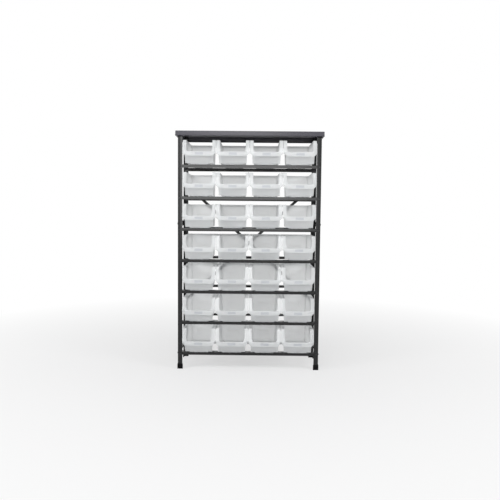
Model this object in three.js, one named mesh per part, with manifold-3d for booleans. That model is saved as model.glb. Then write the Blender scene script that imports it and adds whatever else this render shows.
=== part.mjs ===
// Floor-standing bin rack: a steel angle frame with seven open two-rail shelves,
// a hemmed top tray, a crossed brace behind and 28 lift-out hopper bins.
// Millimetres. X runs across the front, Y from front to back, Z up from the floor.
import * as THREE from 'three';
import { mergeVertices } from 'three/addons/utils/BufferGeometryUtils.js';
import Module from 'manifold-3d';

const wasm = await Module();
wasm.setup();

// Driving dimensions of the frame
const frameWidth = 914.4; // over the posts
const frameDepth = 310; // over the posts
const tierCount = 7;
const columnCount = 4;
const tierPitch = 201.8; // rail to rail
const lowestRailCentre = 101.8;
const trayRise = 19.2; // tray top above the next rail place
const fit = 0.3; // gap between parts that touch
const overrun = 5; // how far a cutter passes its face

// Posts, rails, ties and brace
const postLeg = 30;
const postWall = 2;
const railHeight = 20.5;
const railDepth = 35;
const railWall = 1.5;
const railEndGap = 7; // rail end to the side of the rack
const tieHeight = 36;
const tieLip = 12;
const tieWall = 1.5;
const tieRise = 37.6; // middle tie above the rail that it passes
const braceWidth = 18.5;
const braceWall = 2;
const braceEnd = 12; // bar beyond its bolt
const braceTopTier = 1.5; // tiers counted down from the top rail place
const braceTiers = 4;
const joggleRun = 20; // length over which the outer bar steps back
const joggleHalf = 28; // half of the stretch that lies further back

// Top tray and feet
const trayOverhang = 15.5;
const trayLip = 31;
const trayWall = 1.5;
const trayHem = 8;
const footHeight = 33;
const footBase = 3;
const footWall = 2.2;

// Fasteners
const boltSize = 6;
const boltHeadWidth = 12;
const boltHeadHeight = 3.5;
const boltEnd = 4; // thread beyond the last sheet
const holePlay = 1; // hole over bolt
const boltSides = 6;

// Bins
const postPlay = 2.2; // outer columns to the posts
const binGap = 1.9; // between neighbouring rims
const binHeadroom = 27; // rim to the rail above
const binLipReach = 50; // front lip ahead of the posts
const binBackPlay = 10; // back rim to the rear posts
const binWall = 2.2;
const rimWidth = 21; // rim beyond the side wall
const rimFront = 14; // rim beyond the front wall
const rimBack = 10; // rim beyond the back wall
const rimSkirt = 14;
const rimCorner = 10;
const lipHeight = 78;
const bandHeight = 28;
const bandChamfer = 14;
const bandEnd = 5; // upright end of the band below its slant
const hopperRun = 36; // length of the sloping rim
const sideDraft = 5;
const backDraft = 3;
const baseFront = 12; // base of the front wall ahead of the posts
const bodyCorner = 14;
const roomCorner = 7; // slanted corners inside, which keep the wall even
const ribReach = 9; // corner ribs beyond the side wall
const ribCut = 3.5; // slanted lower end of a corner rib
const ribSet = 0.5; // rib face behind the face of the front wall
const footDrop = 6;
const footSideInset = 13;
const footEndInset = 3;
const labelWidth = 51;
const labelHeight = 16;
const labelDepth = 1;
const hangerWidth = 70;
const hangerRib = 3;
const hangerLow = 15; // above the bin's foot
const hangerHigh = 101;
const hangerDepth = 4;
const hangerLedge = 82;
const hangerLedgeGap = 4; // ledge end to the rib beside it
const hangerLedgeDepth = 7;
const bodyCornerSteps = 2;
const edgeCornerSteps = 1; // at the rim, the room and the foot

// Places that follow from the sizes above
const halfWidth = frameWidth / 2;
const rackHeight = lowestRailCentre + tierCount * tierPitch + trayRise;
const postTop = rackHeight - trayWall - fit;
const boltX = halfWidth - postLeg / 2;
const columnPitch = (frameWidth - 2 * postLeg - 2 * postPlay) / columnCount;
const binRimHalf = (columnPitch - binGap) / 2;
const binHeight = tierPitch - railHeight - binHeadroom - fit;
const binBack = frameDepth - postWall - binBackPlay;
const railCentres = Array.from({ length: tierCount },
  (_, tier) => lowestRailCentre + (tierCount - 1 - tier) * tierPitch);
const braceHigh = lowestRailCentre + (tierCount - braceTopTier) * tierPitch;
const braceLow = braceHigh - braceTiers * tierPitch;
const tieLevels = [
  railCentres[Math.floor(tierCount / 3)] + tieRise,
  lowestRailCentre,
];
const sides = [['left', -1], ['right', 1]];

const finishes = {
  steel: { color: 0x4a4b4e, roughness: 0.45, metalness: 0.35 },
  tray: { color: 0x55545a, roughness: 0.4, metalness: 0.35 },
  rubber: { color: 0x161617, roughness: 0.75, metalness: 0 },
  clear: { color: 0xdcdfe2, roughness: 0.4, metalness: 0 },
};

function solidOf(geometry) {
  geometry.deleteAttribute('normal');
  geometry.deleteAttribute('uv');
  const merged = mergeVertices(geometry);
  return new wasm.Manifold(new wasm.Mesh({
    numProp: 3,
    vertProperties: merged.attributes.position.array,
    triVerts: new Uint32Array(merged.index.array),
  }));
}

function geometryOf(solid) {
  const mesh = solid.getMesh();
  const geometry = new THREE.BufferGeometry();
  geometry.setAttribute('position', new THREE.BufferAttribute(mesh.vertProperties, 3));
  geometry.setIndex(new THREE.BufferAttribute(mesh.triVerts, 1));
  geometry.computeVertexNormals();
  return geometry;
}

// An outline of [across, along] points pushed out along its third axis.
function extruded(points, length, across, along, out) {
  const shape = new THREE.Shape(points.map(([x, y]) => new THREE.Vector2(x, y)));
  const geometry = new THREE.ExtrudeGeometry(shape, { depth: length, bevelEnabled: false });
  return geometry.applyMatrix4(new THREE.Matrix4().makeBasis(across, along, out));
}

const unitX = new THREE.Vector3(1, 0, 0);
const unitY = new THREE.Vector3(0, 1, 0);
const unitZ = new THREE.Vector3(0, 0, 1);

// Outline in X and Y, standing from low to high.
function prismZ(points, low, high) {
  return solidOf(extruded(points, high - low, unitX, unitY, unitZ).translate(0, 0, low));
}

// Outline in Y and Z, spread evenly to both sides of X = 0.
function prismX(points, half) {
  return solidOf(extruded(points, 2 * half, unitY, unitZ, unitX).translate(-half, 0, 0));
}

// Outline in X and Z, reaching from near to far along Y.
function prismY(points, near, far) {
  const back = unitY.clone().negate();
  return solidOf(extruded(points, far - near, unitX, unitZ, back).translate(0, far, 0));
}

function block(x0, x1, y0, y1, z0, z1) {
  const box = new THREE.BoxGeometry(x1 - x0, y1 - y0, z1 - z0);
  return solidOf(box.translate((x0 + x1) / 2, (y0 + y1) / 2, (z0 + z1) / 2));
}

// Closed skin over convex rings of points, lowest ring first, each turning the same way.
function loft(rings) {
  const size = rings[0].length;
  const index = [];
  for (let ring = 0; ring < rings.length - 1; ring += 1) {
    for (let k = 0; k < size; k += 1) {
      const a = ring * size + k;
      const b = ring * size + ((k + 1) % size);
      index.push(a, b, b + size, a, b + size, a + size);
    }
  }
  const top = (rings.length - 1) * size;
  for (let k = 1; k < size - 1; k += 1) {
    index.push(0, k + 1, k, top, top + k, top + k + 1);
  }
  const geometry = new THREE.BufferGeometry();
  geometry.setAttribute('position', new THREE.Float32BufferAttribute(rings.flat(2), 3));
  geometry.setIndex(index);
  return solidOf(geometry);
}

// Rounded rectangle at one height, turning anticlockwise seen from above.
function roundedRing(half, front, back, radius, height, steps) {
  const corners = [
    [half - radius, front + radius, -Math.PI / 2],
    [half - radius, back - radius, 0],
    [radius - half, back - radius, Math.PI / 2],
    [radius - half, front + radius, Math.PI],
  ];
  return corners.flatMap(([x, y, start]) =>
    Array.from({ length: steps + 1 }, (_, step) => {
      const angle = start + (step / steps) * (Math.PI / 2);
      return [x + radius * Math.cos(angle), y + radius * Math.sin(angle), height];
    }));
}

function boltHole(length) {
  const radius = (boltSize + holePlay) / 2;
  return new THREE.CylinderGeometry(radius, radius, length, boltSides);
}

// Cutter along Y, X or Z through a sheet near the given place.
function drill(solid, places, axis) {
  const length = 2 * (postWall + railWall + overrun);
  const cutters = places.map(([x, y, z]) => {
    const hole = boltHole(length);
    if (axis === 'x') hole.rotateZ(Math.PI / 2);
    if (axis === 'z') hole.rotateX(Math.PI / 2);
    return solidOf(hole.translate(x, y, z));
  });
  return cutters.reduce((rest, cutter) => rest.subtract(cutter), solid);
}

function mesh(name, geometry, finish) {
  const made = new THREE.Mesh(geometry, new THREE.MeshStandardMaterial(finishes[finish]));
  made.name = name;
  return made;
}

// Hexagon bolt along +Y: head at the front, then its shank through sheets of the given grip.
function makeBolt(grip) {
  const head = boltHeadWidth / 2;
  const shank = boltSize / 2;
  const profile = [[0, -boltHeadHeight], [head, -boltHeadHeight], [head, 0],
    [shank, 0], [shank, grip + boltEnd], [0, grip + boltEnd]];
  return new THREE.LatheGeometry(profile.map(([x, y]) => new THREE.Vector2(x, y)), boltSides);
}

// Bolts that hold the rails, on the front or rear leg of a post.
function railBolts(sideSign, isRear) {
  return railCentres.map((z) => {
    const bolt = makeBolt(postWall + fit + railWall);
    if (isRear) bolt.rotateZ(Math.PI);
    return bolt.translate(sideSign * boltX, isRear ? frameDepth : 0, z);
  });
}

// Bolts behind the rack whose heads lie on the brace bars.
function braceBolts(sideSign) {
  return [braceHigh, braceLow].map((z) => makeBolt(braceWall + 2 * fit + postWall)
    .rotateZ(Math.PI).translate(sideSign * boltX, frameDepth + 2 * fit + braceWall, z));
}

// Bolts that hold the ties, on the side leg of a post.
function tieBolts(sideSign, isRear) {
  return tieLevels.map((z) => makeBolt(postWall + fit + tieWall)
    .rotateZ(sideSign * (Math.PI / 2)).translate(sideSign * halfWidth, legMiddleY(isRear), z));
}

// Screw up through the tab, flush with the top of the tray.
function trayScrew(sideSign, isRear) {
  const screw = makeBolt(postWall + fit + trayWall - boltEnd).rotateX(Math.PI / 2);
  return screw.translate(sideSign * boltX, legMiddleY(isRear), postTop - postWall);
}

function legMiddleY(isRear) {
  return isRear ? frameDepth - postLeg / 2 : postLeg / 2;
}

// Angle post with its bolts and a turned-in tab on top that carries the tray.
function makePost(sideSign, isRear) {
  const corner = [sideSign * halfWidth, isRear ? frameDepth : 0];
  const inX = -sideSign;
  const inY = isRear ? -1 : 1;
  const point = (along, deep) => [corner[0] + inX * along, corner[1] + inY * deep];
  const outline = [
    point(0, 0), point(postLeg, 0), point(postLeg, postWall),
    point(postWall, postWall), point(postWall, postLeg), point(0, postLeg),
  ];
  const square = [point(0, 0), point(postLeg, 0), point(postLeg, postLeg), point(0, postLeg)];
  const angle = prismZ(outline, footBase + fit, postTop);
  const tab = prismZ(square, postTop - postWall, postTop);
  const bolts = [
    ...railBolts(sideSign, isRear), ...tieBolts(sideSign, isRear), trayScrew(sideSign, isRear),
    ...(isRear ? braceBolts(sideSign) : []),
  ];
  return bolts.reduce((post, bolt) => post.add(solidOf(bolt)), angle.add(tab));
}

// Angle rail: an upright leg against the posts and a shelf leg that the bins stand on.
function makeRail(centre, isRear) {
  const inY = isRear ? -1 : 1;
  const face = isRear ? frameDepth - postWall - fit : postWall + fit;
  const low = centre - railHeight / 2;
  const high = centre + railHeight / 2;
  const outline = [
    [face, low], [face + inY * railWall, low], [face + inY * railWall, high - railWall],
    [face + inY * railDepth, high - railWall], [face + inY * railDepth, high], [face, high],
  ];
  const rail = prismX(outline, halfWidth - railEndGap);
  return drill(rail, [[-boltX, face, centre], [boltX, face, centre]], 'y');
}

// Side tie: a flat strip with a turned-in top lip, between the side legs of two posts.
function makeTie(sideSign, level) {
  const outer = sideSign * (halfWidth - postWall - fit);
  const inner = outer - sideSign * tieWall;
  const lip = outer - sideSign * tieLip;
  const low = level - tieHeight / 2;
  const high = level + tieHeight / 2;
  const outline = [
    [outer, low], [outer, high], [lip, high],
    [lip, high - tieWall], [inner, high - tieWall], [inner, low],
  ];
  const start = postWall + railWall + 2 * fit;
  const strip = prismY(outline, start, frameDepth - start);
  const lipEnd = postLeg + overrun;
  const notch = (near, far) => block(-halfWidth, halfWidth, near, far,
    high - tieWall - fit, high + overrun);
  const clear = strip.subtract(notch(0, lipEnd)).subtract(notch(frameDepth - lipEnd, frameDepth));
  const holes = [[outer, legMiddleY(false), level], [outer, legMiddleY(true), level]];
  return drill(clear, holes, 'x');
}

// Flat bar for the brace, joggled back where it passes behind the other one.
function braceOutline(half, isOuter) {
  const step = isOuter ? braceWall + fit : 0;
  const front = [[-half, 0], [-joggleHalf - joggleRun, 0], [-joggleHalf, step],
    [joggleHalf, step], [joggleHalf + joggleRun, 0], [half, 0]];
  const rear = front.map(([x, y]) => [x, y + braceWall]).reverse();
  return isOuter ? [...front, ...rear]
    : [[-half, 0], [half, 0], [half, braceWall], [-half, braceWall]];
}

// Brace bar made level, then turned to its slope behind the rack.
function makeBrace(slopeSign, isOuter) {
  const rise = braceHigh - braceLow;
  const span = Math.hypot(2 * boltX, rise);
  const outline = braceOutline(span / 2 + braceEnd, isOuter);
  const bar = prismZ(outline, -braceWidth / 2, braceWidth / 2);
  const ends = [[-span / 2, 0, 0], [span / 2, 0, 0]];
  const drilled = drill(bar, isOuter ? ends : [...ends, [0, 0, 0]], 'y');
  const crossing = makeBolt(2 * braceWall + fit).rotateZ(Math.PI)
    .translate(0, 2 * braceWall + fit, 0);
  const finished = isOuter ? drilled.add(solidOf(crossing)) : drilled;
  const geometry = geometryOf(finished).rotateY(-slopeSign * Math.atan2(rise, 2 * boltX));
  return geometry.translate(0, frameDepth + fit, (braceHigh + braceLow) / 2);
}

// Pressed-steel tray upside down on the posts, with a hem turned in round its lip.
function makeTray() {
  const half = halfWidth + trayOverhang;
  const front = -trayOverhang;
  const back = frameDepth + trayOverhang;
  const low = rackHeight - trayLip;
  const skin = block(-half, half, front, back, low, rackHeight);
  const room = block(trayWall - half, half - trayWall, front + trayWall, back - trayWall,
    low + trayWall, rackHeight - trayWall);
  const mouth = block(trayHem - half, half - trayHem, front + trayHem, back - trayHem,
    low - overrun, low + trayWall + overrun);
  const holes = sides.flatMap(([, sign]) => [false, true]
    .map((isRear) => [sign * boltX, legMiddleY(isRear), rackHeight]));
  return drill(skin.subtract(room).subtract(mouth), holes, 'z');
}

// Moulded shoe that follows the angle of its post.
function makeFoot(sideSign, isRear) {
  const cornerX = sideSign * halfWidth;
  const cornerY = isRear ? frameDepth : 0;
  const inY = isRear ? -1 : 1;
  const shoe = (grow) => {
    const point = (along, deep) => [cornerX - sideSign * along, cornerY + inY * deep];
    const inner = postWall + grow;
    return [point(-grow, -grow), point(postLeg + grow, -grow), point(postLeg + grow, inner),
      point(inner, inner), point(inner, postLeg + grow), point(-grow, postLeg + grow)];
  };
  const outside = prismZ(shoe(footWall + fit), 0, footHeight);
  return outside.subtract(prismZ(shoe(fit), footBase, footHeight + overrun));
}

function sideAt(height) {
  return binRimHalf - rimWidth - sideDraft * (1 - height / binHeight);
}

function frontAt(height) {
  return -baseFront - (binLipReach - rimFront - baseFront) * (height / lipHeight);
}

// Level of the bin's walls at one height, less an inset.
function binRing(height, inset, corner, steps) {
  const back = binBack - rimBack - backDraft * (1 - height / binHeight) - inset;
  return roundedRing(sideAt(height) - inset, frontAt(height) + inset, back,
    corner, height, steps);
}

function footRing(height, inset) {
  const half = binRimHalf - rimWidth - sideDraft - footSideInset - inset;
  const back = binBack - rimBack - backDraft - footEndInset - inset;
  const front = footEndInset - baseFront + inset;
  return roundedRing(half, front, back, bodyCorner - inset, height, edgeCornerSteps);
}

// Rim line seen from the side, back first, dropped and drawn in by an amount.
function rimLine(drop) {
  const slope = Math.atan2(binHeight - lipHeight, hopperRun);
  const high = drop * Math.tan((Math.PI / 2 - (Math.PI / 2 - slope)) / 2);
  const low = drop * Math.tan(slope / 2);
  const turn = -(binLipReach - rimFront) + hopperRun;
  return [
    [binBack - drop, binHeight - drop],
    [turn + high, binHeight - drop],
    [turn - hopperRun + low, lipHeight - drop],
    [drop - binLipReach, lipHeight - drop],
  ];
}

// Turned-over rim: a top plate with a skirt outside, deeper at the front as the label band.
function makeRim() {
  const bandLow = lipHeight - bandHeight;
  const wallFront = rimFront - binLipReach;
  const turn = wallFront + hopperRun;
  const outline = [...rimLine(0), [-binLipReach, bandLow], [wallFront, bandLow],
    [wallFront, lipHeight - rimSkirt], [turn, binHeight - rimSkirt],
    [binBack, binHeight - rimSkirt]];
  const inside = [...rimLine(binWall), [binWall - binLipReach, -overrun],
    [binBack - binWall, -overrun]];
  const plan = (inset) => loft([-overrun, binHeight + overrun].map((z) => roundedRing(
    binRimHalf - inset, inset - binLipReach, binBack - inset, rimCorner, z, edgeCornerSteps)));
  const outer = prismX(outline, binRimHalf).intersect(plan(0));
  const hollow = prismX(inside, binRimHalf).intersect(plan(binWall));
  return outer.subtract(hollow);
}

// Slanted ends of the label band, cut down to the width of the body.
function bandCutter(sign) {
  const bottom = lipHeight - bandHeight;
  const outside = sign * (binRimHalf + overrun);
  const inside = sign * (binRimHalf - bandChamfer);
  const points = [
    [outside, bottom - overrun],
    [outside, bottom + bandEnd + bandChamfer + overrun],
    [inside, bottom + bandEnd],
    [inside, bottom - overrun],
  ];
  return prismY(points, -binLipReach - overrun, rimFront - binLipReach + overrun);
}

// Ribs in line with the front wall, from the rim down both front corners to the foot.
function makeCornerRibs() {
  const high = lipHeight - binWall / 2;
  const top = sideAt(high) + ribReach;
  const low = sideAt(footDrop) + ribReach;
  const face = [[-top, high], [-low, footDrop + ribCut], [ribCut - low, footDrop],
    [low - ribCut, footDrop], [low, footDrop + ribCut], [top, high]];
  const wall = [0, lipHeight].map((z) => [frontAt(z) + ribSet, z]);
  const inside = wall.map(([y, z]) => [y + binWall, z]).reverse();
  return prismY(face, -binLipReach, 0).intersect(prismX([...wall, ...inside], binRimHalf));
}

// Raised ribs and a hanging ledge on the outside of the back wall.
function makeHanger() {
  const wallIn = binBack - rimBack - backDraft - binWall;
  const half = hangerWidth / 2;
  const ribBack = binBack - rimBack + hangerDepth;
  const rib = (sign) => {
    const inner = sign * (half - hangerRib);
    const outer = sign * half;
    return block(Math.min(inner, outer), Math.max(inner, outer), wallIn, ribBack,
      hangerLow, hangerHigh);
  };
  const ledgeHalf = half - hangerRib - hangerLedgeGap;
  const ledge = block(-ledgeHalf, ledgeHalf, wallIn, binBack - rimBack + hangerLedgeDepth,
    hangerLedge - hangerRib, hangerLedge);
  return rib(-1).add(rib(1)).add(ledge);
}

function makeBin() {
  const underRim = [...rimLine(0), [-binLipReach, -overrun], [binBack, -overrun]];
  const body = loft([footDrop, binHeight].map((z) => binRing(z, 0, bodyCorner, bodyCornerSteps)))
    .intersect(prismX(underRim, binRimHalf));
  const foot = loft([0, footDrop + binWall].map((z) => footRing(z, 0)));
  const room = loft([footDrop + binWall, binHeight + overrun]
    .map((z) => binRing(z, binWall, roomCorner, edgeCornerSteps)));
  const well = loft([binWall, footDrop + 2 * binWall].map((z) => footRing(z, binWall)));
  const bandMiddle = lipHeight - bandHeight / 2;
  const label = block(-labelWidth / 2, labelWidth / 2, -binLipReach - overrun,
    labelDepth - binLipReach, bandMiddle - labelHeight / 2, bandMiddle + labelHeight / 2);
  const rim = makeRim().subtract(bandCutter(-1)).subtract(bandCutter(1));
  return body.add(foot).add(rim).add(makeCornerRibs()).add(makeHanger())
    .subtract(room).subtract(well).subtract(label);
}

function addFrame(rack) {
  for (const [side, sign] of sides) {
    for (const [place, isRear] of [['front', false], ['rear', true]]) {
      const at = `${place}_${side}`;
      rack.add(mesh(`post_${at}`, geometryOf(makePost(sign, isRear)), 'steel'));
      rack.add(mesh(`foot_cap_${at}`, geometryOf(makeFoot(sign, isRear)), 'rubber'));
    }
    ['middle', 'lower'].forEach((level, k) => rack.add(
      mesh(`side_tie_${side}_${level}`, geometryOf(makeTie(sign, tieLevels[k])), 'steel')));
  }
  railCentres.forEach((centre, tier) => {
    rack.add(mesh(`front_rail_${tier + 1}`, geometryOf(makeRail(centre, false)), 'steel'));
    rack.add(mesh(`rear_rail_${tier + 1}`, geometryOf(makeRail(centre, true)), 'steel'));
  });
  rack.add(mesh('back_brace_inner', makeBrace(1, false), 'steel'));
  rack.add(mesh('back_brace_outer', makeBrace(-1, true), 'steel'));
  rack.add(mesh('top_tray', geometryOf(makeTray()), 'tray'));
}

function addBins(rack) {
  const geometry = geometryOf(makeBin());
  railCentres.forEach((centre, tier) => {
    for (let column = 0; column < columnCount; column += 1) {
      const bin = mesh(`bin_row${tier + 1}_col${column + 1}`, geometry, 'clear');
      const x = (column - (columnCount - 1) / 2) * columnPitch;
      bin.position.set(x, 0, centre + railHeight / 2 + fit);
      rack.add(bin);
    }
  });
}

const rack = new THREE.Group();
addFrame(rack);
addBins(rack);
rack.position.y = -(frameDepth + trayOverhang - binLipReach) / 2;
rack.updateMatrixWorld(true);

export default rack;
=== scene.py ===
import math

import bmesh
import bpy
from mathutils import Matrix, Vector


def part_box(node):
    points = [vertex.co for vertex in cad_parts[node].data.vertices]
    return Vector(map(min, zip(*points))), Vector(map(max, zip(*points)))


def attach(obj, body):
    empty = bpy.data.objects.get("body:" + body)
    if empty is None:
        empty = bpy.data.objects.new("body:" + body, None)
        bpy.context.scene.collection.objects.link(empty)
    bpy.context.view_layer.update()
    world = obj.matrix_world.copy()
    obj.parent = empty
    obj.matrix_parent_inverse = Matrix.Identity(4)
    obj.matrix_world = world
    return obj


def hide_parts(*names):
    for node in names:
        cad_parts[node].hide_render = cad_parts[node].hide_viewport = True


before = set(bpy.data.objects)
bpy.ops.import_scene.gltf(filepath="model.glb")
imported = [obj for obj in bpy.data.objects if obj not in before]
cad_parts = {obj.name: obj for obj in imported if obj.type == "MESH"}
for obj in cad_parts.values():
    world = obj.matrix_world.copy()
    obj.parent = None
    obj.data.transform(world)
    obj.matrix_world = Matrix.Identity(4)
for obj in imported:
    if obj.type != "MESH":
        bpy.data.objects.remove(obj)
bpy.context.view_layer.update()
print("frame loaded,", len(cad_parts), "solids")

tiny = 0.00002  # how near a place counts as the same, in metres
squareOn = 0.9  # how far a normal looks along an axis to count as facing it
foldChange = 0.5  # how much the upward part of a normal changes over a fold
facets = {"flat": 1, "soft": 2, "fold": 3, "round": 4}  # how many make up a rounded edge


# Picking and shaping by hand

def deselectAll():
    bpy.ops.object.select_all(action="DESELECT")
    bpy.context.view_layer.objects.active = None


def takeUp(piece):
    deselectAll()
    piece.select_set(True)
    bpy.context.view_layer.objects.active = piece


def startEditing(piece):
    takeUp(piece)
    bpy.ops.object.mode_set(mode="EDIT")


def stopEditing():
    bpy.ops.object.mode_set(mode="OBJECT")


# The middle of an edge or a face
def middleOf(part):
    return sum((v.co for v in part.verts), start=Vector((0, 0, 0))) / len(part.verts)


def isLevel(part, height):
    return all(abs(v.co.z - height) < tiny for v in part.verts)


# Leaves selected only the verts, edges or faces that pass the test.
def pick(kind, test):
    bpy.ops.mesh.select_mode(type=kind)
    bpy.ops.mesh.select_all(action="DESELECT")
    mesh = bpy.context.active_object.data
    shape = bmesh.from_edit_mesh(mesh)
    shape.normal_update()
    parts = {"VERT": shape.verts, "EDGE": shape.edges, "FACE": shape.faces}[kind]
    for part in parts:
        if test(part):
            part.select_set(True)
    shape.select_flush_mode()
    bmesh.update_edit_mesh(mesh)


def move(x=0, y=0, z=0):
    bpy.ops.transform.translate(value=(x, y, z))


def scaleAbout(centre, x=1, y=1, z=1):
    bpy.ops.transform.resize(value=(x, y, z), center_override=centre)


def pull(x=0, y=0, z=0):
    bpy.ops.mesh.extrude_region_move(TRANSFORM_OT_translate={"value": (x, y, z)})


def cutAcross(place, along):
    bpy.ops.mesh.select_all(action="SELECT")
    bpy.ops.mesh.bisect(plane_co=place, plane_no=along)


def bevelPicked(width, segments, kind="EDGES"):
    bpy.ops.mesh.bevel(offset=width, segments=segments, affect=kind)


# A piece's place, turn and size go into its mesh.
def settle(piece):
    takeUp(piece)
    bpy.ops.object.transform_apply(location=True, rotation=True, scale=True)
    return piece


def named(piece, name):
    piece.name = name
    piece.data.name = name
    return piece


def addBox(name, low, high):
    deselectAll()
    middle = [(a + b) / 2 for a, b in zip(low, high)]
    size = [b - a for a, b in zip(low, high)]
    bpy.ops.mesh.primitive_cube_add(size=1, location=middle, scale=size)
    return settle(named(bpy.context.active_object, name))


# Disc or prism along Y, reaching from near to far.
def addDisc(name, sides, radius, near, far):
    deselectAll()
    bpy.ops.mesh.primitive_cylinder_add(vertices=sides, radius=radius, depth=far - near,
                                        location=(0, (near + far) / 2, 0),
                                        rotation=(math.pi / 2, 0, 0))
    return settle(named(bpy.context.active_object, name))


def applyModifier(piece, kind, **settings):
    takeUp(piece)
    bpy.ops.object.modifier_add(type=kind)
    added = piece.modifiers[-1]
    for setting, value in settings.items():
        setattr(added, setting, value)
    bpy.ops.object.modifier_apply(modifier=added.name)


def roundEdges(piece, width, segments=1, angle=35):
    applyModifier(piece, "BEVEL", width=width, segments=segments, limit_method="ANGLE",
                  angle_limit=math.radians(angle))


def thicken(piece, gauge):
    applyModifier(piece, "SOLIDIFY", thickness=gauge, offset=-1, use_even_offset=True)


def combine(piece, tool, operation):
    applyModifier(piece, "BOOLEAN", operation=operation, object=tool, solver="EXACT")
    bpy.data.objects.remove(tool)


def smooth(piece, angle=40):
    takeUp(piece)
    bpy.ops.object.shade_smooth_by_angle(angle=math.radians(angle))


def joined(name, pieces):
    takeUp(pieces[0])
    for piece in pieces:
        piece.select_set(True)
    bpy.ops.object.join()
    return named(pieces[0], name)


# A copy with its own mesh, moved in its mesh.
def copied(piece, name, place, turn=0):
    deselectAll()
    twin = piece.copy()
    twin.data = piece.data.copy()
    bpy.context.scene.collection.objects.link(twin)
    twin.location = place
    twin.rotation_euler.z = turn
    return settle(named(twin, name))


def dress(piece, finish, body, slotName, *nodes):
    piece.data.materials.clear()
    piece.data.materials.append(finish)
    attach(piece, body)
    if nodes:
        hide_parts(*nodes)
    return piece


# Shader building: sums on sockets are written as sums

# The part of a reach that is in full, and the upward part of a normal that counts as level
masks = {"softEdge": 0.97, "levelFrom": 0.5, "levelFull": 0.95}


class Wire:
    def __init__(self, paint, socket):
        self.paint = paint
        self.socket = socket

    def __add__(self, other):
        return self.paint.sum("ADD", self, other)

    def __radd__(self, other):
        return self.paint.sum("ADD", other, self)

    def __sub__(self, other):
        return self.paint.sum("SUBTRACT", self, other)

    def __mul__(self, other):
        return self.paint.sum("MULTIPLY", self, other)

    def __rmul__(self, other):
        return self.paint.sum("MULTIPLY", other, self)


# The node tree of a material or of the world.
class Paint:
    def __init__(self, owner):
        owner.use_nodes = True
        self.owner = owner
        self.tree = owner.node_tree
        self.tree.nodes.clear()

    # One node: its type, then its settings, then what its sockets hold or are fed by.
    def add(self, kind, settings=None, sockets=None):
        node = self.tree.nodes.new("ShaderNode" + kind)
        for setting, value in (settings or {}).items():
            setattr(node, setting, value)
        for socket, value in (sockets or {}).items():
            if isinstance(value, Wire):
                self.tree.links.new(value.socket, node.inputs[socket])
            else:
                node.inputs[socket].default_value = value
        return node

    def out(self, node, socket=0):
        return Wire(self, node.outputs[socket])

    def sum(self, operation, first, second):
        return self.out(self.add("Math", {"operation": operation}, {0: first, 1: second}))

    def place(self):
        return self.out(self.add("TexCoord"), "Object")

    def along(self, axis):
        return self.out(self.add("SeparateXYZ", None, {0: self.place()}), axis)

    # 1 within the reach of a place that comes again at each pitch
    def near(self, axis, place, pitch, reach):
        away = self.sum("PINGPONG", self.along(axis) - place, pitch / 2)
        return self.between(away, reach, reach * masks["softEdge"])

    def stretched(self, x, y, z):
        return self.out(self.add("Mapping", None, {"Vector": self.place(), "Scale": (x, y, z)}))

    def noise(self, scale, detail=2, roughness=0.5, where=None):
        node = self.add("TexNoise", None, {"Vector": where or self.place(), "Scale": scale,
                                           "Detail": detail, "Roughness": roughness})
        return self.out(node, "Fac")

    # 0 below the first value, 1 above the second
    def between(self, value, low, high):
        return self.out(self.add("MapRange", {"clamp": True},
                                 {"Value": value, "From Min": low, "From Max": high}))

    # 1 on faces that look straight up, 0 on upright ones
    def upward(self):
        facing = self.out(self.add("NewGeometry"), "Normal")
        rise = self.out(self.add("SeparateXYZ", None, {0: facing}), "Z")
        return self.between(rise, masks["levelFrom"], masks["levelFull"])

    # Two colours mixed; 6, 7 and 2 are the colour sockets of a Mix node
    def blend(self, amount, first, second):
        node = self.add("Mix", {"data_type": "RGBA"}, {"Factor": amount, 6: first, 7: second})
        return self.out(node, 2)

    def bump(self, height, depth):
        return self.out(self.add("Bump", None, {"Height": height, "Distance": depth}))

    def mixShaders(self, amount, first, second):
        return self.out(self.add("MixShader", None, {"Fac": amount, 1: first, 2: second}))

    # 1 for rays that show the background: straight, mirrored and let through
    def seen(self, *kinds):
        path = self.add("LightPath")
        rays = [self.out(path, f"Is {kind} Ray") for kind in kinds]
        return self.between(sum(rays[1:], start=rays[0]), 0, 1)

    def finish(self, surface, output="OutputMaterial"):
        self.add(output, None, {"Surface": surface})
        return self.owner


def newPaint(name):
    return Paint(bpy.data.materials.new(name))


# The usual sRGB curve, from screen values to light
def colour(red, green, blue):
    parts = [part / 255 for part in (red, green, blue)]
    return (*[p / 12.92 if p <= 0.04045 else ((p + 0.055) / 1.055) ** 2.4 for p in parts], 1)


# Coated steel or dark plastic: fine peel, faint cloudiness and rubbed streaks,
# more of them on the ledges that things slide over.
def paintedSteel(name, look):
    paint = newPaint(name)
    cloud = paint.noise(look["cloudScale"], detail=3)
    rub = paint.noise(look["rubScale"], detail=4, where=paint.stretched(1, 1, look["rubRun"]))
    rubbed = paint.between(rub + look["ledgeRub"] * paint.upward(), look["rubFrom"],
                           look["rubFull"])
    base = paint.blend(cloud, look["dark"], look["light"])
    base = paint.blend(rubbed * look["rubDepth"], base, look["rubColour"])
    peel = paint.noise(look["peelScale"], detail=1)
    surface = paint.add("BsdfPrincipled", None, {
        "Base Color": base,
        "Roughness": look["roughness"] + look["cloudRough"] * cloud - look["rubSmooth"] * rubbed,
        "Metallic": look["metallic"],
        "Specular IOR Level": look["gloss"],
        "Normal": paint.bump(peel, look["peelDepth"]),
    })
    return paint.finish(paint.out(surface))


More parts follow.
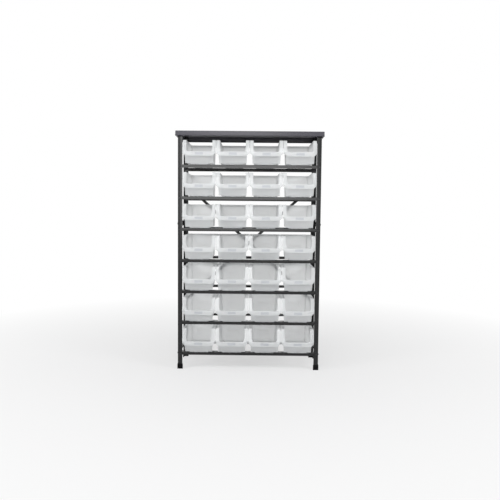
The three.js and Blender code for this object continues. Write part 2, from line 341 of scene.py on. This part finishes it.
steelLook = {
    "dark": colour(14, 15, 16), "light": colour(22, 23, 24), "rubColour": colour(60, 61, 64),
    "roughness": 0.14, "metallic": 0.0, "gloss": 0.4, "cloudScale": 6, "rubScale": 60,
    "rubRun": 0.12, "rubDepth": 0.3, "rubFrom": 0.66, "rubFull": 0.76, "ledgeRub": 0.07,
    "cloudRough": 0.1, "rubSmooth": 0.1, "peelScale": 700, "peelDepth": 0.00003,
}
trayLook = dict(steelLook, dark=colour(56, 55, 61), light=colour(68, 66, 74), roughness=0.3,
                rubColour=colour(120, 118, 124))
boltLook = dict(steelLook, dark=colour(40, 40, 42), light=colour(56, 56, 57),
                rubColour=colour(104, 103, 100), metallic=0.6, roughness=0.34, rubScale=200)
shoeLook = dict(steelLook, dark=colour(10, 10, 11), light=colour(15, 15, 16), gloss=0.08,
                rubColour=colour(30, 30, 30), roughness=0.55, peelScale=1600, peelDepth=0.00004)

framePaint = paintedSteel("charcoalPowderCoat", steelLook)
trayPaint = paintedSteel("trayPowderCoat", trayLook)
boltZinc = paintedSteel("darkZinc", boltLook)
shoePlastic = paintedSteel("blackShoePlastic", shoeLook)
print("frame finishes made")


# Places and gauges that the solids give
sheet = {"postWall": 0.002, "railWall": 0.0015, "trayWall": 0.0015, "fit": 0.0003,
         "railEndGap": 0.007}
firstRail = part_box("front_rail_1")
postHalf = firstRail[1].x + sheet["railEndGap"]
postFront = firstRail[0].y - sheet["postWall"] - sheet["fit"]
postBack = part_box("rear_rail_1")[1].y + sheet["postWall"] + sheet["fit"]
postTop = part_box("top_tray")[1].z - sheet["trayWall"] - sheet["fit"]
corners = [(side, end) for side in ("left", "right") for end in ("front", "rear")]
handOf = {"left": -1, "right": 1}
inwardOf = {"front": 1, "rear": -1}
tiers = range(1, 1 + sum(name.startswith("front_rail_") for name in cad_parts))


# The middle of a solid's box
def centreOf(node):
    low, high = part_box(node)
    return (low + high) / 2


railLevels = [centreOf(f"front_rail_{tier}").z for tier in tiers]


bolt = {"head": 0.0058, "height": 0.0035, "chamfer": 0.0011, "dome": 0.0001, "shank": 0.003,
        "collar": 0.006, "collarHeight": 0.0008, "grip": 0.0038, "tail": 0.004,
        "nut": 0.0056, "nutHeight": 0.003, "edge": 0.0002, "collarSides": 24, "shankSides": 12}


# Hexagon along Y, its outer face given a smaller one inside it.
def addHexagon(name, radius, near, far, outward):
    piece = addDisc(name, 6, radius, near, far)
    startEditing(piece)
    pick("FACE", lambda f: f.normal.y * outward > squareOn)
    bpy.ops.mesh.inset(thickness=bolt["chamfer"])
    move(y=bolt["dome"])
    stopEditing()
    return piece


# Bolt along Y, head towards the front, with its collar and shank, and a nut if it has one.
def makeBolt(name, end, hasNut):
    head = addHexagon("head", bolt["head"], -bolt["height"], 0, -1)
    roundEdges(head, bolt["edge"])
    collar = addDisc("collar", bolt["collarSides"], bolt["collar"], -bolt["collarHeight"], 0)
    shank = addDisc("shank", bolt["shankSides"], bolt["shank"], 0, end)
    startEditing(shank)
    pick("EDGE", lambda e: min(v.co.y for v in e.verts) > end - tiny)
    bevelPicked(bolt["chamfer"], facets["flat"])
    stopEditing()
    if not hasNut:
        return joined(name, [head, collar, shank])
    nut = addHexagon("nut", bolt["nut"], bolt["grip"], bolt["grip"] + bolt["nutHeight"], 1)
    return joined(name, [head, collar, shank, nut])


# Box in one corner of the rack, reaching inwards from its outer upright edge.
def addCornerBox(name, outerX, outerY, reach, side, end, bottom, top):
    xs = sorted([outerX, outerX - handOf[side] * reach])
    ys = sorted([outerY, outerY + inwardOf[end] * reach])
    return addBox(f"{name}{end.title()}{side.title()}", (xs[0], ys[0], bottom),
                  (xs[1], ys[1], top))


post = {"leg": 0.030, "fold": 0.003, "edge": 0.0003}


# Angle post: three sides of a box, folded edges rounded, then given its gauge.
def makePost(side, end):
    hand = handOf[side]
    inward = inwardOf[end]
    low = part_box(f"post_{end}_{side}")[0]
    outerY = postFront if end == "front" else postBack
    piece = addCornerBox("post", hand * postHalf, outerY, post["leg"], side, end, low.z, postTop)
    startEditing(piece)
    pick("FACE", lambda f: not (f.normal.x * hand > squareOn or f.normal.y * inward < -squareOn
                                or f.normal.z > squareOn))
    bpy.ops.mesh.delete(type="FACE")
    pick("EDGE", lambda e: len(e.link_faces) == 2)
    bevelPicked(post["fold"], facets["round"])
    stopEditing()
    thicken(piece, sheet["postWall"])
    roundEdges(piece, post["edge"])
    smooth(piece)
    return piece


rail = {"fold": 0.0025, "edge": 0.00025, "corner": 0.004}


# Angle rail: the upright leg and the shelf leg of a box, the shelf's corners rounded.
def makeRail(name, node, inward):
    low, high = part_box(node)
    piece = addBox(name, low, high)
    startEditing(piece)
    pick("FACE", lambda f: f.normal.z < squareOn and f.normal.y * inward > -squareOn)
    bpy.ops.mesh.delete(type="FACE")
    pick("EDGE", lambda e: len(e.link_faces) == 2)
    bevelPicked(rail["fold"], facets["round"])
    shelfEnd = high.y if inward > 0 else low.y
    pick("VERT", lambda v: abs(v.co.y - shelfEnd) < tiny)
    bevelPicked(rail["corner"], facets["fold"], "VERTICES")
    stopEditing()
    thicken(piece, sheet["railWall"])
    roundEdges(piece, rail["edge"])
    smooth(piece)
    return piece


tie = {"wall": 0.0015, "fold": 0.002, "clear": 0.035, "edge": 0.00025,
       "levels": ("middle", "lower")}


# Side tie: a strip whose turned-in top lip stops short of the posts.
def makeTie(side, level):
    hand = handOf[side]
    low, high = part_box(f"side_tie_{side}_{level}")
    piece = addBox(f"sideTie{side.title()}{level.title()}", low, high)
    lipStart = postFront + tie["clear"]
    lipEnd = postBack - tie["clear"]
    startEditing(piece)
    pick("FACE", lambda f: f.normal.x * hand < squareOn and f.normal.z < squareOn)
    bpy.ops.mesh.delete(type="FACE")
    cutAcross((0, lipStart, 0), (0, 1, 0))
    cutAcross((0, lipEnd, 0), (0, 1, 0))
    pick("FACE", lambda f: f.normal.z > squareOn and not lipStart < middleOf(f).y < lipEnd)
    bpy.ops.mesh.delete(type="FACE")
    pick("EDGE", lambda e: len(e.link_faces) == 2 and isLevel(e, high.z))
    bevelPicked(tie["fold"], facets["fold"])
    stopEditing()
    thicken(piece, tie["wall"])
    roundEdges(piece, tie["edge"])
    smooth(piece)
    return piece


braceMiddle = centreOf("back_brace_inner").z
brace = {"width": 0.0185, "wall": 0.002, "end": 0.012, "joggleRun": 0.020, "joggleHalf": 0.028,
         "step": 0.0023, "round": 0.006, "edge": 0.0003, "tiers": 4}
braceRise = brace["tiers"] * (railLevels[0] - railLevels[1])


# Flat brace bar made level, stepped back where it crosses the other, then turned to its slope.
def makeBrace(name, slope, stepped):
    run = 2 * postHalf - post["leg"]
    half = math.hypot(run, braceRise) / 2 + brace["end"]
    face = postBack + sheet["fit"]
    piece = addBox(name, (-half, face, -brace["width"] / 2),
                   (half, face + brace["wall"], brace["width"] / 2))
    startEditing(piece)
    if stepped:
        reach = brace["joggleHalf"] + brace["joggleRun"]
        for place in (-reach, -brace["joggleHalf"], brace["joggleHalf"], reach):
            cutAcross((place, 0, 0), (1, 0, 0))
        pick("VERT", lambda v: abs(v.co.x) < brace["joggleHalf"] + tiny)
        move(y=brace["step"])
    pick("EDGE", lambda e: abs(abs(middleOf(e).x) - half) < tiny
         and abs(e.verts[0].co.y - e.verts[1].co.y) > tiny)
    bevelPicked(brace["round"], facets["round"])
    stopEditing()
    piece.rotation_euler.y = -slope * math.atan2(braceRise, run)
    piece.location.z = braceMiddle
    settle(piece)
    roundEdges(piece, brace["edge"])
    smooth(piece)
    return piece


tray = {"hole": 0.0033, "holeSides": 16, "corner": 0.004, "fold": 0.0025, "hemFold": 0.002,
        "hem": 0.008, "bead": 0.0065, "recess": 0.0009, "edge": 0.0003, "edgeAngle": 50}


# Whether an upright side turns into a level face at this edge and height.
def turnsAt(edge, height):
    return (len(edge.link_faces) == 2 and isLevel(edge, height)
            and abs(edge.link_faces[0].normal.z - edge.link_faces[1].normal.z) > foldChange)


# The middle of a post's tab, where the screw of the tray goes up.
def cornerMiddle(side, end):
    face = postFront if end == "front" else postBack
    return (handOf[side] * (postHalf - post["leg"] / 2), face + inwardOf[end] * post["leg"] / 2)


# Pressed tray, open below: a box without its bottom, its lip ending in a thicker hem,
# with a hole for the screw over each post.
def makeTray():
    low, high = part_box("top_tray")
    inset = tray["recess"]
    piece = addBox("topTray", (low.x + inset, low.y + inset, low.z + tray["bead"]),
                   (high.x - inset, high.y - inset, high.z))
    middle = ((low.x + high.x) / 2, (low.y + high.y) / 2, 0)
    width, depth = high.x - low.x, high.y - low.y
    startEditing(piece)
    pick("FACE", lambda f: f.normal.z < -squareOn)
    bpy.ops.mesh.delete(type="ONLY_FACE")
    pick("EDGE", lambda e: abs(e.verts[0].co.z - e.verts[1].co.z) > tiny)
    bevelPicked(tray["corner"], facets["round"])
    pick("EDGE", lambda e: len(e.link_faces) == 1)
    pull(z=-inset)
    scaleAbout(middle, width / (width - 2 * inset), depth / (depth - 2 * inset))
    pull(z=inset - tray["bead"])
    pull()
    scaleAbout(middle, 1 - 2 * tray["hem"] / width, 1 - 2 * tray["hem"] / depth)
    pick("EDGE", lambda e: turnsAt(e, high.z))
    bevelPicked(tray["fold"], facets["fold"])
    pick("EDGE", lambda e: turnsAt(e, low.z))
    bevelPicked(tray["hemFold"], facets["fold"])
    stopEditing()
    thicken(piece, sheet["trayWall"])
    for side, end in corners:
        x, y = cornerMiddle(side, end)
        deselectAll()
        bpy.ops.mesh.primitive_cylinder_add(vertices=tray["holeSides"], radius=tray["hole"],
                                            depth=tray["hole"], location=(x, y, high.z))
        combine(piece, settle(bpy.context.active_object), "DIFFERENCE")
    roundEdges(piece, tray["edge"], angle=tray["edgeAngle"])
    smooth(piece)
    return piece


shoe = {"wall": 0.0022, "base": 0.003, "edge": 0.0008}


# Moulded shoe: an L-shaped block with a pocket for the post.
def makeShoe(side, end):
    hand = handOf[side]
    inward = inwardOf[end]
    low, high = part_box(f"foot_cap_{end}_{side}")
    band = sheet["postWall"] + 2 * (shoe["wall"] + sheet["fit"])
    outerX = high.x if hand > 0 else low.x
    outerY = low.y if inward > 0 else high.y
    piece = addCornerBox("footCap", outerX, outerY, band, side, end, low.z, high.z)
    startEditing(piece)
    pick("FACE", lambda f: f.normal.x * hand < -squareOn)
    pull(x=-hand * (high.x - low.x - band))
    pick("FACE", lambda f: f.normal.y * inward > squareOn and abs(middleOf(f).x - outerX) < band)
    pull(y=inward * (high.y - low.y - band))
    pick("FACE", lambda f: f.normal.z > squareOn)
    bpy.ops.mesh.inset(thickness=shoe["wall"])
    pull(z=shoe["base"] - (high.z - low.z))
    stopEditing()
    roundEdges(piece, shoe["edge"], facets["soft"])
    smooth(piece)
    return piece


hopper = {
    "wall": 0.0022, "rimWidth": 0.021, "rimFront": 0.014, "rimBack": 0.010, "skirt": 0.014,
    "lip": 0.078, "band": 0.028, "bandEnd": 0.005, "slope": 0.036, "corner": 0.014,
    "cornerSteps": 6, "sideDraft": 0.0048, "frontDraft": 0.0222, "backDraft": 0.0029,
    "footDrop": 0.006, "footEnd": 0.003, "footSide": 0.013, "fold": 0.0016, "baseFold": 0.0032,
    "edge": 0.0005, "foldAngle": 28, "edgeAngle": 40, "shadeAngle": 32,
}


# Lowers the picked verts by an amount that depends on their place, one line of them at a time.
def lowerLines(test, lineOf, fallAt):
    shape = bmesh.from_edit_mesh(bpy.context.active_object.data)
    lines = sorted({round(lineOf(v), 6) for v in shape.verts if test(v)})
    for line in lines:
        if fallAt(line):
            pick("VERT", lambda v: test(v) and abs(lineOf(v) - line) < tiny)
            move(z=-fallAt(line))


# The bin's places: its box, its middle and where its walls start under the rim.
def hopperPlaces(node):
    low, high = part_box(node)
    return {
        "low": low, "high": high, "middle": (low.x + high.x) / 2,
        "half": (high.x - low.x) / 2 - hopper["rimWidth"],
        "front": low.y + hopper["rimFront"], "back": high.y - hopper["rimBack"],
        "top": high.z - hopper["wall"], "base": low.z + hopper["footDrop"],
    }


# Hopper bin, from its rim: the inner rim loop is drawn down as the walls and the foot,
# and the outer one turned down as the skirt and the front band.
def makeBin(name, node):
    at = hopperPlaces(node)
    piece = startRim(name, at)
    widenRim(at)
    turn = at["front"] + hopper["slope"]
    fall = at["high"].z - at["low"].z - hopper["lip"]
    cutAcross((0, turn, 0), (0, 1, 0))
    cutAcross((0, at["front"], 0), (0, 1, 0))
    lowerLines(lambda v: v.co.y < turn - tiny, lambda v: v.co.y,
               lambda y: fall * min(1, (turn - y) / hopper["slope"]))
    drawWalls(at)
    turnSkirt(at)
    bpy.ops.mesh.select_all(action="SELECT")
    bpy.ops.mesh.remove_doubles(threshold=tiny)
    bpy.ops.mesh.normals_make_consistent(inside=False)
    faceOutwards()
    stopEditing()
    roundEdges(piece, hopper["fold"], facets["fold"], hopper["foldAngle"])
    thicken(piece, hopper["wall"])
    roundEdges(piece, hopper["edge"], facets["soft"], hopper["edgeAngle"])
    for hand in (-1, 1):
        addCornerRib(piece, hand, at)
    addLabelFrame(piece, at)
    addHanger(piece, at)
    smooth(piece, hopper["shadeAngle"])
    return piece


def startRim(name, at):
    deselectAll()
    centre = (at["middle"], (at["front"] + at["back"]) / 2, at["top"])
    bpy.ops.mesh.primitive_plane_add(size=1, location=centre)
    piece = named(bpy.context.active_object, name)
    piece.scale = (2 * at["half"], at["back"] - at["front"], 1)
    settle(piece)
    startEditing(piece)
    bpy.ops.mesh.select_mode(type="VERT")
    bpy.ops.mesh.select_all(action="SELECT")
    bevelPicked(hopper["corner"], hopper["cornerSteps"], "VERTICES")
    pick("FACE", lambda f: True)
    bpy.ops.mesh.delete(type="ONLY_FACE")
    return piece


# Scales the picked loop along X and Y so that its front and back come to new places.
def refit(at, scaleX, newFront, newBack, height, scaleZ=1):
    scaleY = (newBack - newFront) / (at["back"] - at["front"])
    centreY = (newFront - scaleY * at["front"]) / (1 - scaleY)
    scaleAbout((at["middle"], centreY, height), scaleX, scaleY, scaleZ)


def widenRim(at):
    outer = (at["high"].x - at["low"].x) / 2 - hopper["wall"]
    newFront = at["low"].y + hopper["wall"] + label["rise"]
    pick("EDGE", lambda e: True)
    pull()
    refit(at, outer / at["half"], newFront, at["high"].y - hopper["wall"], at["top"])


def isWallLoop(edge, at):
    return all(abs(v.co.x - at["middle"]) < at["half"] + tiny
               and at["front"] - tiny < v.co.y < at["back"] + tiny for v in edge.verts)


def drawWalls(at):
    base = at["base"]
    pick("EDGE", lambda e: len(e.link_faces) == 1 and isWallLoop(e, at))
    pull()
    refit(at, 1 - hopper["sideDraft"] / at["half"], at["front"] + hopper["frontDraft"],
          at["back"] - hopper["backDraft"], base, 0)
    bpy.ops.mesh.edge_face_add()
    pick("EDGE", lambda e: isLevel(e, base))
    bevelPicked(hopper["baseFold"], facets["fold"])
    pick("FACE", lambda f: abs(f.normal.z) > squareOn and abs(middleOf(f).z - base) < tiny)
    bpy.ops.mesh.inset(thickness=hopper["footEnd"])
    scaleAbout((at["middle"], 0, 0), 1 - hopper["footSide"] / at["half"])
    pull(z=-hopper["footDrop"])


# The outer loop comes down all round, and deeper in front, slanting at the ends.
def turnSkirt(at):
    pick("EDGE", lambda e: len(e.link_faces) == 1)
    pull(z=hopper["wall"] - hopper["skirt"])
    under = at["low"].z + hopper["lip"] - hopper["skirt"]
    shape = bmesh.from_edit_mesh(bpy.context.active_object.data)
    frontY = min(v.co.y for v in shape.verts)
    reach = max(abs(v.co.x - at["middle"]) for v in shape.verts)
    straight = max(abs(v.co.x - at["middle"]) for v in shape.verts if v.co.y < frontY + tiny)
    extra = hopper["band"] - hopper["skirt"]
    slant = extra + hopper["bandEnd"]
    lowerLines(lambda v: v.co.y < at["front"] and abs(v.co.z - under) < 5 * tiny,
               lambda v: abs(v.co.x - at["middle"]),
               lambda x: extra - slant * max(0, (x - straight) / (reach - straight)))


def faceOutwards():
    shape = bmesh.from_edit_mesh(bpy.context.active_object.data)
    shape.normal_update()
    lowest = min(shape.faces, key=lambda f: middleOf(f).z)
    if lowest.normal.z > 0:
        bpy.ops.mesh.flip_normals()


cornerRib = {"root": 0.022, "reach": 0.009, "set": 0.0004, "wall": 0.0016, "cut": 0.0035,
             "lean": 0.0023, "edge": 0.0004}


# Rib in line with the front wall, from the rim down one front corner to the base.
def addCornerRib(piece, hand, at):
    side = at["half"] - hopper["sideDraft"] / 2
    xs = sorted(at["middle"] + hand * x
                for x in (side - cornerRib["root"], side + cornerRib["reach"]))
    near = at["front"] + cornerRib["set"]
    high = at["low"].z + hopper["lip"] - hopper["wall"] / 2
    rib = addBox("cornerRib", (xs[0], near, at["base"]), (xs[1], near + cornerRib["wall"], high))
    startEditing(rib)
    pick("VERT", lambda v: v.co.z < at["base"] + tiny)
    move(x=-hand * cornerRib["lean"], y=hopper["frontDraft"])
    outer = side + cornerRib["reach"] - cornerRib["lean"]
    pick("EDGE", lambda e: isLevel(e, at["base"])
         and all(abs(abs(v.co.x - at["middle"]) - outer) < tiny for v in e.verts))
    bevelPicked(cornerRib["cut"], facets["fold"])
    stopEditing()
    roundEdges(rib, cornerRib["edge"])
    combine(piece, rib, "UNION")


label = {"width": 0.052, "height": 0.0165, "depth": 0.0008, "rise": 0.0015, "bar": 0.0038,
         "barHigh": 0.021, "sill": 0.0018, "gap": 0.0008, "edge": 0.0004}


# Card place on the band: a shallow field with raised bars at its ends and below it.
def addLabelFrame(piece, at):
    half = label["width"] / 2
    level = at["low"].z + hopper["lip"] - hopper["band"] / 2
    floor = level - label["height"] / 2
    top = level + label["height"] / 2
    face = at["low"].y + label["rise"]
    field = addBox("field", (at["middle"] - half, at["low"].y - label["rise"], floor),
                   (at["middle"] + half, face + label["depth"], top))
    combine(piece, field, "DIFFERENCE")
    near = half + label["gap"]
    far = near + label["bar"]
    deep = face + label["rise"] / 2
    ends = (level - label["barHigh"] / 2, level + label["barHigh"] / 2)
    sill = (floor - label["gap"] - label["sill"], floor - label["gap"])
    for x0, x1, (z0, z1) in [(-far, -near, ends), (near, far, ends), (-near, near, sill)]:
        bar = addBox("bar", (at["middle"] + x0, at["low"].y, z0), (at["middle"] + x1, deep, z1))
        roundEdges(bar, label["edge"], facets["soft"])
        combine(piece, bar, "UNION")


hanger = {"half": 0.035, "rib": 0.003, "low": 0.015, "high": 0.101, "depth": 0.004,
          "ledgeHalf": 0.028, "ledge": 0.082, "ledgeDepth": 0.007, "edge": 0.0006}


# Raised ribs and a hanging ledge on the outside of the back wall.
def addHanger(piece, at):
    start = at["back"] - hopper["backDraft"] - hopper["wall"] / 2
    inner = hanger["half"] - hanger["rib"]
    blocks = [(-hanger["half"], -inner, hanger["low"], hanger["high"], hanger["depth"]),
              (inner, hanger["half"], hanger["low"], hanger["high"], hanger["depth"]),
              (-hanger["ledgeHalf"], hanger["ledgeHalf"], hanger["ledge"] - hanger["rib"],
               hanger["ledge"], hanger["ledgeDepth"])]
    for x0, x1, z0, z1, depth in blocks:
        block = addBox("block", (at["middle"] + x0, start, at["low"].z + z0),
                       (at["middle"] + x1, at["back"] + depth, at["low"].z + z1))
        roundEdges(block, hanger["edge"], facets["soft"])
        combine(piece, block, "UNION")


binLook = {
    "clear": colour(230, 232, 234), "milky": colour(240, 241, 241), "roughness": 0.36,
    "cover": 0.44, "glow": 0.26, "density": 1.49, "grainScale": 1500, "grainDepth": 0.00003,
    # the darker card-field colour is painted shade of the thin field, not a finish of the plastic
    "paintedFieldShade": colour(197, 200, 209), "flowScale": 9, "flowRun": (1, 0.4, 1.6), "flowRough": 0.06,
    "scuffScale": 45, "scuffRun": (1, 0.25, 1), "scuffGrit": 0.62, "scuffFrom": 0.6,
    "scuffFull": 0.72, "scuffRough": 0.14,
}


# 1 on the card field of each bin's front band, where shade is painted as a darker colour
def cardFieldShadeMask(paint):
    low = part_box("bin_row1_col1")[0]
    firstMiddle = centreOf("bin_row1_col1").x
    columnPitch = centreOf("bin_row1_col2").x - firstMiddle
    tierPitch = low.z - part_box("bin_row2_col1")[0].z
    level = low.z + hopper["lip"] - hopper["band"] / 2
    deepest = low.y + label["rise"] + label["depth"]
    front = paint.between(paint.along("Y"), deepest + 2 * label["depth"], deepest + label["depth"])
    return (paint.near("X", firstMiddle, columnPitch, label["width"] / 2)
            * paint.near("Z", level, tierPitch, label["height"] / 2) * front)


# Milky moulded plastic: light soaks through it, with flow marks, grain, faint scuffs and painted
# shade on the card field.
def milkyPlastic(name, look):
    paint = newPaint(name)
    flow = paint.noise(look["flowScale"], detail=2, where=paint.stretched(*look["flowRun"]))
    scuff = paint.noise(look["scuffScale"], detail=5, roughness=look["scuffGrit"],
                        where=paint.stretched(*look["scuffRun"]))
    scuff = paint.between(scuff, look["scuffFrom"], look["scuffFull"])
    base = paint.blend(flow, look["clear"], look["milky"])
    # painted shade: the card field is given a darker colour
    base = paint.blend(cardFieldShadeMask(paint), base, look["paintedFieldShade"])
    normal = paint.bump(paint.noise(look["grainScale"], detail=1), look["grainDepth"])
    surface = paint.out(paint.add("BsdfPrincipled", None, {
        "Base Color": base,
        "Roughness": look["roughness"] + look["scuffRough"] * scuff + look["flowRough"] * flow,
        "IOR": look["density"],
        "Alpha": look["cover"],
        "Normal": normal,
    }))
    soaked = paint.out(paint.add("BsdfTranslucent", None,
                                 {"Color": look["milky"], "Normal": normal}))
    return paint.finish(paint.mixShaders(look["glow"], surface, soaked))


binPlastic = milkyPlastic("milkyBinPlastic", binLook)
print("bin plastic made")

# Build the frame
for side, end in corners:
    dress(makePost(side, end), framePaint, "rack", "frame_steel", f"post_{end}_{side}")
    dress(makeShoe(side, end), shoePlastic, "rack", "foot_plastic", f"foot_cap_{end}_{side}")
print("posts and feet made")

for tier in tiers:
    for end, inward in inwardOf.items():
        node = f"{end}_rail_{tier}"
        dress(makeRail(f"{end}Rail{tier}", node, inward), framePaint, "rack", "frame_steel", node)
for side in handOf:
    for level in tie["levels"]:
        dress(makeTie(side, level), framePaint, "rack", "frame_steel",
              f"side_tie_{side}_{level}")
dress(makeBrace("backBraceInner", 1, False), framePaint, "rack", "frame_steel",
      "back_brace_inner")
dress(makeBrace("backBraceOuter", -1, True), framePaint, "rack", "frame_steel",
      "back_brace_outer")
dress(makeTray(), trayPaint, "rack", "tray_steel", "top_tray")
print("rails, ties, brace and tray made")


# Every bolt of one post: rails on the face, ties on the side, the brace behind.
def boltPlaces(side, end):
    hand = handOf[side]
    acrossX, legY = cornerMiddle(side, end)
    face = postFront if end == "front" else postBack
    turn = 0 if end == "front" else math.pi
    places = [((acrossX, face, level), turn) for level in railLevels]
    places += [((hand * postHalf, legY, centreOf(f"side_tie_{side}_{level}").z),
                hand * math.pi / 2) for level in tie["levels"]]
    if end == "rear":
        braceFace = postBack + 2 * sheet["fit"] + brace["wall"]
        places += [((acrossX, braceFace, braceMiddle + sign * braceRise / 2), turn)
                   for sign in (-1, 1)]
    return places


railBolt = makeBolt("railBolt", bolt["grip"] + bolt["tail"], True)
trayScrew = makeBolt("trayScrew", sheet["postWall"] + sheet["fit"] + sheet["trayWall"], False)
trayScrew.rotation_euler.x = math.pi / 2
settle(trayScrew)
for side, end in corners:
    boltSet = [copied(railBolt, "bolt", place, turn) for place, turn in boltPlaces(side, end)]
    tabPlace = (*cornerMiddle(side, end), postTop - sheet["postWall"])
    boltSet.append(copied(trayScrew, "screw", tabPlace))
    dress(joined(f"bolts{end.title()}{side.title()}", boltSet), boltZinc, "rack", "frame_steel")
crossingFace = postBack + 2 * (sheet["fit"] + brace["wall"])
crossing = copied(railBolt, "crossingBolt", (0, crossingFace, braceMiddle), math.pi)
dress(crossing, boltZinc, "rack", "frame_steel")
bpy.data.objects.remove(railBolt)
bpy.data.objects.remove(trayScrew)
print("bolts made")

# Bins: one is modelled, the others are copies in their own places
binNodes = sorted(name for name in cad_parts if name.startswith("bin_row"))
firstBin = makeBin("firstBin", binNodes[0])
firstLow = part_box(binNodes[0])[0]
for node in binNodes:
    name = node.replace("bin_row", "hopperBinRow").replace("_col", "Column")
    twin = copied(firstBin, name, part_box(node)[0] - firstLow)
    dress(twin, binPlastic, node, "bin_plastic", node)
bpy.data.objects.remove(firstBin)
print("bins made,", len(binNodes))


studio = {
    "floorSize": 60, "floorColour": colour(205, 205, 206), "ambient": 0.3,
    "fadeStart": -3.2, "fadeEnd": 3.0,  # its own white grows over these metres from the rack
    "aim": (0, 0, 1.2),
}
lamps = {
    "topLamp": {"place": (-0.3, -2.1, 2.9), "width": 1.4, "height": 1.4, "power": 18},
    "frontLamp": {"place": (-0.2, -4.0, 2.1), "width": 2.2, "height": 1.8, "power": 46},
    "leftFill": {"place": (-2.9, -1.9, 2.6), "width": 1.2, "height": 1.6, "power": 66},
    "rightFill": {"place": (2.9, -1.9, 2.6), "width": 1.2, "height": 1.6, "power": 66},
    "rearFill": {"place": (0, 3.4, 2.4), "width": 2.4, "height": 1.4, "power": 16},
}
white = (1, 1, 1, 1)


def makeFloor():
    deselectAll()
    bpy.ops.mesh.primitive_plane_add(size=studio["floorSize"])
    floor = named(bpy.context.active_object, "studioFloor")
    paint = newPaint("paleFloor")
    far = paint.out(paint.add("VectorMath", {"operation": "LENGTH"}, {0: paint.place()}), "Value")
    plain = paint.out(paint.add("BsdfDiffuse", None, {"Color": studio["floorColour"]}))
    glare = paint.out(paint.add("Emission", None, {"Color": white, "Strength": 1}))
    amount = (paint.between(far, studio["fadeStart"], studio["fadeEnd"])
              * paint.seen("Camera", "Glossy", "Transmission"))
    floor.data.materials.append(paint.finish(paint.mixShaders(amount, plain, glare)))


def makeWorld():
    world = bpy.data.worlds.new("studio")
    bpy.context.scene.world = world
    paint = Paint(world)
    lit = paint.out(paint.add("Background", None, {"Color": white,
                                                   "Strength": studio["ambient"]}))
    shown = paint.out(paint.add("Background", None, {"Color": white, "Strength": 1}))
    surface = paint.mixShaders(paint.seen("Camera", "Glossy", "Transmission"), lit, shown)
    paint.finish(surface, "OutputWorld")


def addLamp(name, lamp):
    light = bpy.data.lights.new(name, "AREA")
    light.shape = "RECTANGLE"
    light.size = lamp["width"]
    light.size_y = lamp["height"]
    light.energy = lamp["power"]
    holder = bpy.data.objects.new(name, light)
    bpy.context.scene.collection.objects.link(holder)
    holder.location = lamp["place"]
    aim = Vector(studio["aim"]) - Vector(lamp["place"])
    holder.rotation_euler = aim.to_track_quat("-Z", "Y").to_euler()


camera = {"place": (0.0334, -3.59065, 1.0203), "down": 3.971, "left": 0.430, "roll": 0.522,
          "lens": 38.78, "sensor": 36}


def addCamera():
    lens = bpy.data.cameras.new("photoCamera")
    lens.lens = camera["lens"]
    lens.sensor_width = camera["sensor"]
    holder = bpy.data.objects.new("photoCamera", lens)
    bpy.context.scene.collection.objects.link(holder)
    aimed = (Matrix.Rotation(math.radians(camera["left"]), 4, "Z")
             @ Matrix.Rotation(math.radians(90 - camera["down"]), 4, "X")
             @ Matrix.Rotation(math.radians(camera["roll"]), 4, "Z"))
    holder.rotation_euler = aimed.to_euler()
    holder.location = camera["place"]
    bpy.context.scene.camera = holder


makeFloor()
makeWorld()
for name, lamp in lamps.items():
    addLamp(name, lamp)
addCamera()
bpy.context.scene.view_settings.view_transform = "Standard"
print("floor, lamps and camera set")
